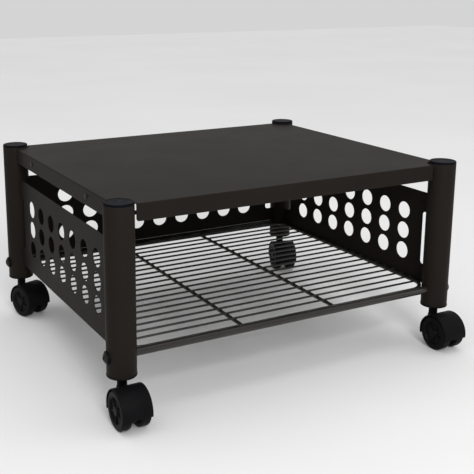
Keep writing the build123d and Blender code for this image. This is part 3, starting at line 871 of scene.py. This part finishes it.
def make_hood():
    """Hood, central web and neck in one moulding, trailing along +X from the stem."""
    shell = hood_shell()
    merge_and_face_out(shell)
    edit(shell)
    pick_edges(shell, lambda a, b: min(a.xz.length, b.xz.length) > HOOD_R - 0.2 * MM
               and abs(abs(a.y) - HOOD_HALF) < 0.1 * MM and abs(abs(b.y) - HOOD_HALF) < 0.1 * MM
               and a.y * b.y > 0)
    bpy.ops.mesh.bevel(offset=1.4 * MM, segments=5, affect="EDGES")
    done()
    web = round_bar("web", WEB_R, 2 * WEB_HALF, (0, 0, 0), "Y", sides=72)
    spine = round_bar("spine", HOOD_INNER_R + 0.6 * MM, 2 * WEB_HALF, (0, 0, 0), "Y", sides=72)
    below = box_between("below", (-0.05, -0.05, -0.05), (0.05, 0.05, -3.0 * MM))
    cut(spine, below)
    modifier(web, "BOOLEAN", operation="UNION", solver="EXACT", object=spine)
    bpy.data.objects.remove(spine)
    soften(web, 0.8 * MM, segments=3, angle=50)
    flare = 0.9 * MM
    shoulder = NECK_SHOULDER - WHEEL_R
    neck_profile = [(0, 12 * MM), (NECK_R + flare, 12 * MM), (NECK_R + flare, shoulder)]
    neck_profile += arc((NECK_R + flare, shoulder + flare), flare, 270, 180, 5)[1:]
    top = NECK_TOP - WHEEL_R
    neck_profile += [(NECK_R, top - 0.6 * MM), (NECK_R - 0.6 * MM, top), (STEM_R, top)]
    neck_profile += [(STEM_R, top - 14 * MM), (0, top - 14 * MM)]
    neck = turned("neck", neck_profile, steps=48, middle=(-WHEEL_TRAIL, 0, 0))
    cut(neck, round_bar("wheel_room", HOOD_INNER_R + 0.3 * MM, 3 * HOOD_HALF, (0, 0, 0), "Y",
                        sides=96))
    modifier(shell, "BOOLEAN", operation="UNION", solver="EXACT", object=web)
    bpy.data.objects.remove(web)
    modifier(shell, "BOOLEAN", operation="UNION", solver="EXACT", object=neck)
    bpy.data.objects.remove(neck)
    soften(shell, 0.35 * MM, segments=2, angle=45)
    shell.location = (WHEEL_TRAIL, 0, WHEEL_R)
    settle(shell)
    return shell


def make_wheel():
    """One wheel about the Y axis, outer face towards +Y: crowned tread, dish, ribs and hub cap."""
    outer = (WHEEL_OUTER - WHEEL_INNER) / 2
    edge, bore = WHEEL_EDGE, WHEEL_BORE_R
    floor = outer - 2.5 * MM
    profile = [(0, outer - 2.4 * MM), (bore, outer - 2.4 * MM), (bore, -outer + 0.4 * MM)]
    profile += [(bore + 0.4 * MM, -outer), (8 * MM, -outer), (8.6 * MM, -outer + 0.8 * MM)]
    profile += [(18 * MM, -outer + 0.8 * MM), (18.6 * MM, -outer)]
    profile += [(WHEEL_R - edge, -outer)]
    profile += arc((WHEEL_R - edge, -outer + edge), edge, -90, 0, 6)[1:]
    groove = 0.5 * MM
    profile += [(WHEEL_R, -groove - 0.3 * MM), (WHEEL_R - 0.35 * MM, -groove)]
    profile += [(WHEEL_R - 0.35 * MM, groove), (WHEEL_R, groove + 0.3 * MM)]
    profile += arc((WHEEL_R - edge, outer - edge), edge, 0, 90, 6)
    profile += [(DISH_R + 2.6 * MM, outer), (DISH_R + 2.2 * MM, outer - 0.35 * MM)]
    profile += [(DISH_R + 1.4 * MM, outer - 0.35 * MM), (DISH_R + 1.0 * MM, outer)]
    profile += [(DISH_R + 0.4 * MM, outer), (DISH_R, outer - 0.4 * MM)]
    profile += [(DISH_R - 0.5 * MM, floor + 0.4 * MM), (DISH_R - 0.9 * MM, floor)]
    profile += [(HUB_R + 0.9 * MM, floor), (HUB_R + 0.5 * MM, floor + 0.4 * MM)]
    profile += [(HUB_R, outer - 0.8 * MM)]
    profile += arc((HUB_R - 0.8 * MM, outer - 0.8 * MM), 0.8 * MM, 0, 90, 4)[1:]
    profile += [(HUB_R * 0.6, outer - 0.05 * MM), (0, outer)]
    wheel = turned("wheel_model", profile, steps=72, axis="Y")
    ribs = []
    for count in range(RIB_COUNT):
        rib = box_between("rib", (HUB_R - 0.6 * MM, floor - 0.4 * MM, -0.8 * MM),
                          (DISH_R - 0.1 * MM, outer - 0.7 * MM, 0.8 * MM))
        rib = soften(rib, 0.4 * MM, segments=2)
        rib.rotation_euler = (0, math.radians(360 / RIB_COUNT * count + 18), 0)
        settle(rib)
        ribs.append(rib)
    ribs = joined("ribs", ribs)
    modifier(wheel, "BOOLEAN", operation="UNION", solver="EXACT", object=ribs)
    bpy.data.objects.remove(ribs)
    return wheel


def place_casters():
    """A hood and two wheels under each post, turned the way that the caster trails."""
    hood_model = make_hood()
    wheel_model = make_wheel()
    middle = (WHEEL_INNER + WHEEL_OUTER) / 2
    far = copy_of(wheel_model, "wheel_b_model", (WHEEL_TRAIL, middle, WHEEL_R))
    near = copy_of(wheel_model, "wheel_a_model", (0, 0, 0), 180)
    near.location = (WHEEL_TRAIL, -middle, WHEEL_R)
    settle(near)
    for corner in CORNERS:
        x, y = post_axis(corner)
        turn = TRAIL_ANGLE[corner]
        hood = copy_of(hood_model, "hood_" + corner, (x, y, 0), turn)
        finish_piece(hood, "caster_" + corner, NYLON,
                     ["caster_hood_" + corner], smooth=35)
        for key, model in (("a", near), ("b", far)):
            wheel = copy_of(model, "wheel_%s_%s" % (key, corner), (x, y, 0), turn)
            finish_piece(wheel, "wheel_%s_%s" % (key, corner), WHEEL,
                         ["caster_wheel_%s_%s" % (key, corner)], smooth=35)
    for model in (hood_model, wheel_model, near, far):
        bpy.data.objects.remove(model)


# ---- frame nodes that stay ----------------------------------------------------

def coat_frame_nodes():
    """Gives every frame node, shown or not, the finish of its slot."""
    finishes = {"satin_black_steel": SATIN, "blue_black_plastic": CAP, "black_nylon": NYLON,
                "black_wheel_plastic": WHEEL, "dark_steel": FASTENER, "zinc_steel": ZINC}
    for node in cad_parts.values():
        for holder in node.material_slots:
            for slot_name, finish in finishes.items():
                if holder.material and holder.material.name.startswith(slot_name):
                    holder.material = finish
                    break


# ---- studio -------------------------------------------------------------------

def make_studio():
    """Pale paper floor, soft lights and a pale surround."""
    deselect_all()
    bpy.ops.mesh.primitive_plane_add(size=1, location=(0, 0, 0))
    floor = bpy.context.active_object
    floor.name = "studio_floor"
    floor.scale = (14, 14, 1)
    settle(floor)
    floor.data.materials.append(PAPER)
    add_light("key_softbox", (-0.7, -2.6, 1.8), (0, 0, 0.15), 1.0, 46)
    add_light("fill_softbox", (2.4, -1.5, 1.4), (0, 0, 0.15), 1.2, 7)
    deselect_all()
    bpy.ops.object.light_add(type="SUN", location=(0.3, 0.4, 3.0))
    overhead = bpy.context.active_object
    overhead.name = "overhead_light"
    overhead.data.energy = 0.8
    overhead.data.angle = math.radians(70)
    world = bpy.data.worlds.new("pale_surround")
    bpy.context.scene.world = world
    world.use_nodes = True
    sky = world.node_tree.nodes["Background"]
    sky.inputs["Color"].default_value = (1.0, 1.0, 1.0, 1)
    sky.inputs["Strength"].default_value = 0.66


def add_light(name, place, aim, size, power):
    deselect_all()
    bpy.ops.object.light_add(type="AREA", location=place)
    light = bpy.context.active_object
    light.name = name
    light.data.size = size
    light.data.energy = power
    light.rotation_euler = (Vector(aim) - Vector(place)).to_track_quat("-Z", "Y").to_euler()


def make_camera():
    """Camera to the front left, a little above the shelf."""
    azimuth, elevation = math.radians(-27.912), math.radians(12.981)
    deselect_all()
    bpy.ops.object.camera_add(location=(-0.6392, -1.1047, 0.5332))
    camera = bpy.context.active_object
    camera.name = "studio_camera"
    level = math.cos(elevation)
    back = Vector((math.sin(azimuth) * level, -math.cos(azimuth) * level, math.sin(elevation)))
    camera.rotation_euler = back.to_track_quat("Z", "Y").to_euler()
    camera.data.sensor_width = 36
    camera.data.lens = 65.71
    camera.data.shift_x = 0.095
    camera.data.shift_y = -0.1203
    camera.data.clip_start = 0.01
    camera.data.clip_end = 60
    bpy.context.scene.camera = camera


place_posts()
make_top_shelf()
make_hat_channels()
make_panels()
make_lower_rail("lower_rail_front", "lower_front_rail")
make_lower_rail("lower_rail_back", "lower_rear_rail")
make_wire_shelf()
place_bolts()
place_screws()
place_casters()
coat_frame_nodes()
make_studio()
make_camera()
bpy.context.scene.view_settings.view_transform = "Standard"

deselect_all()
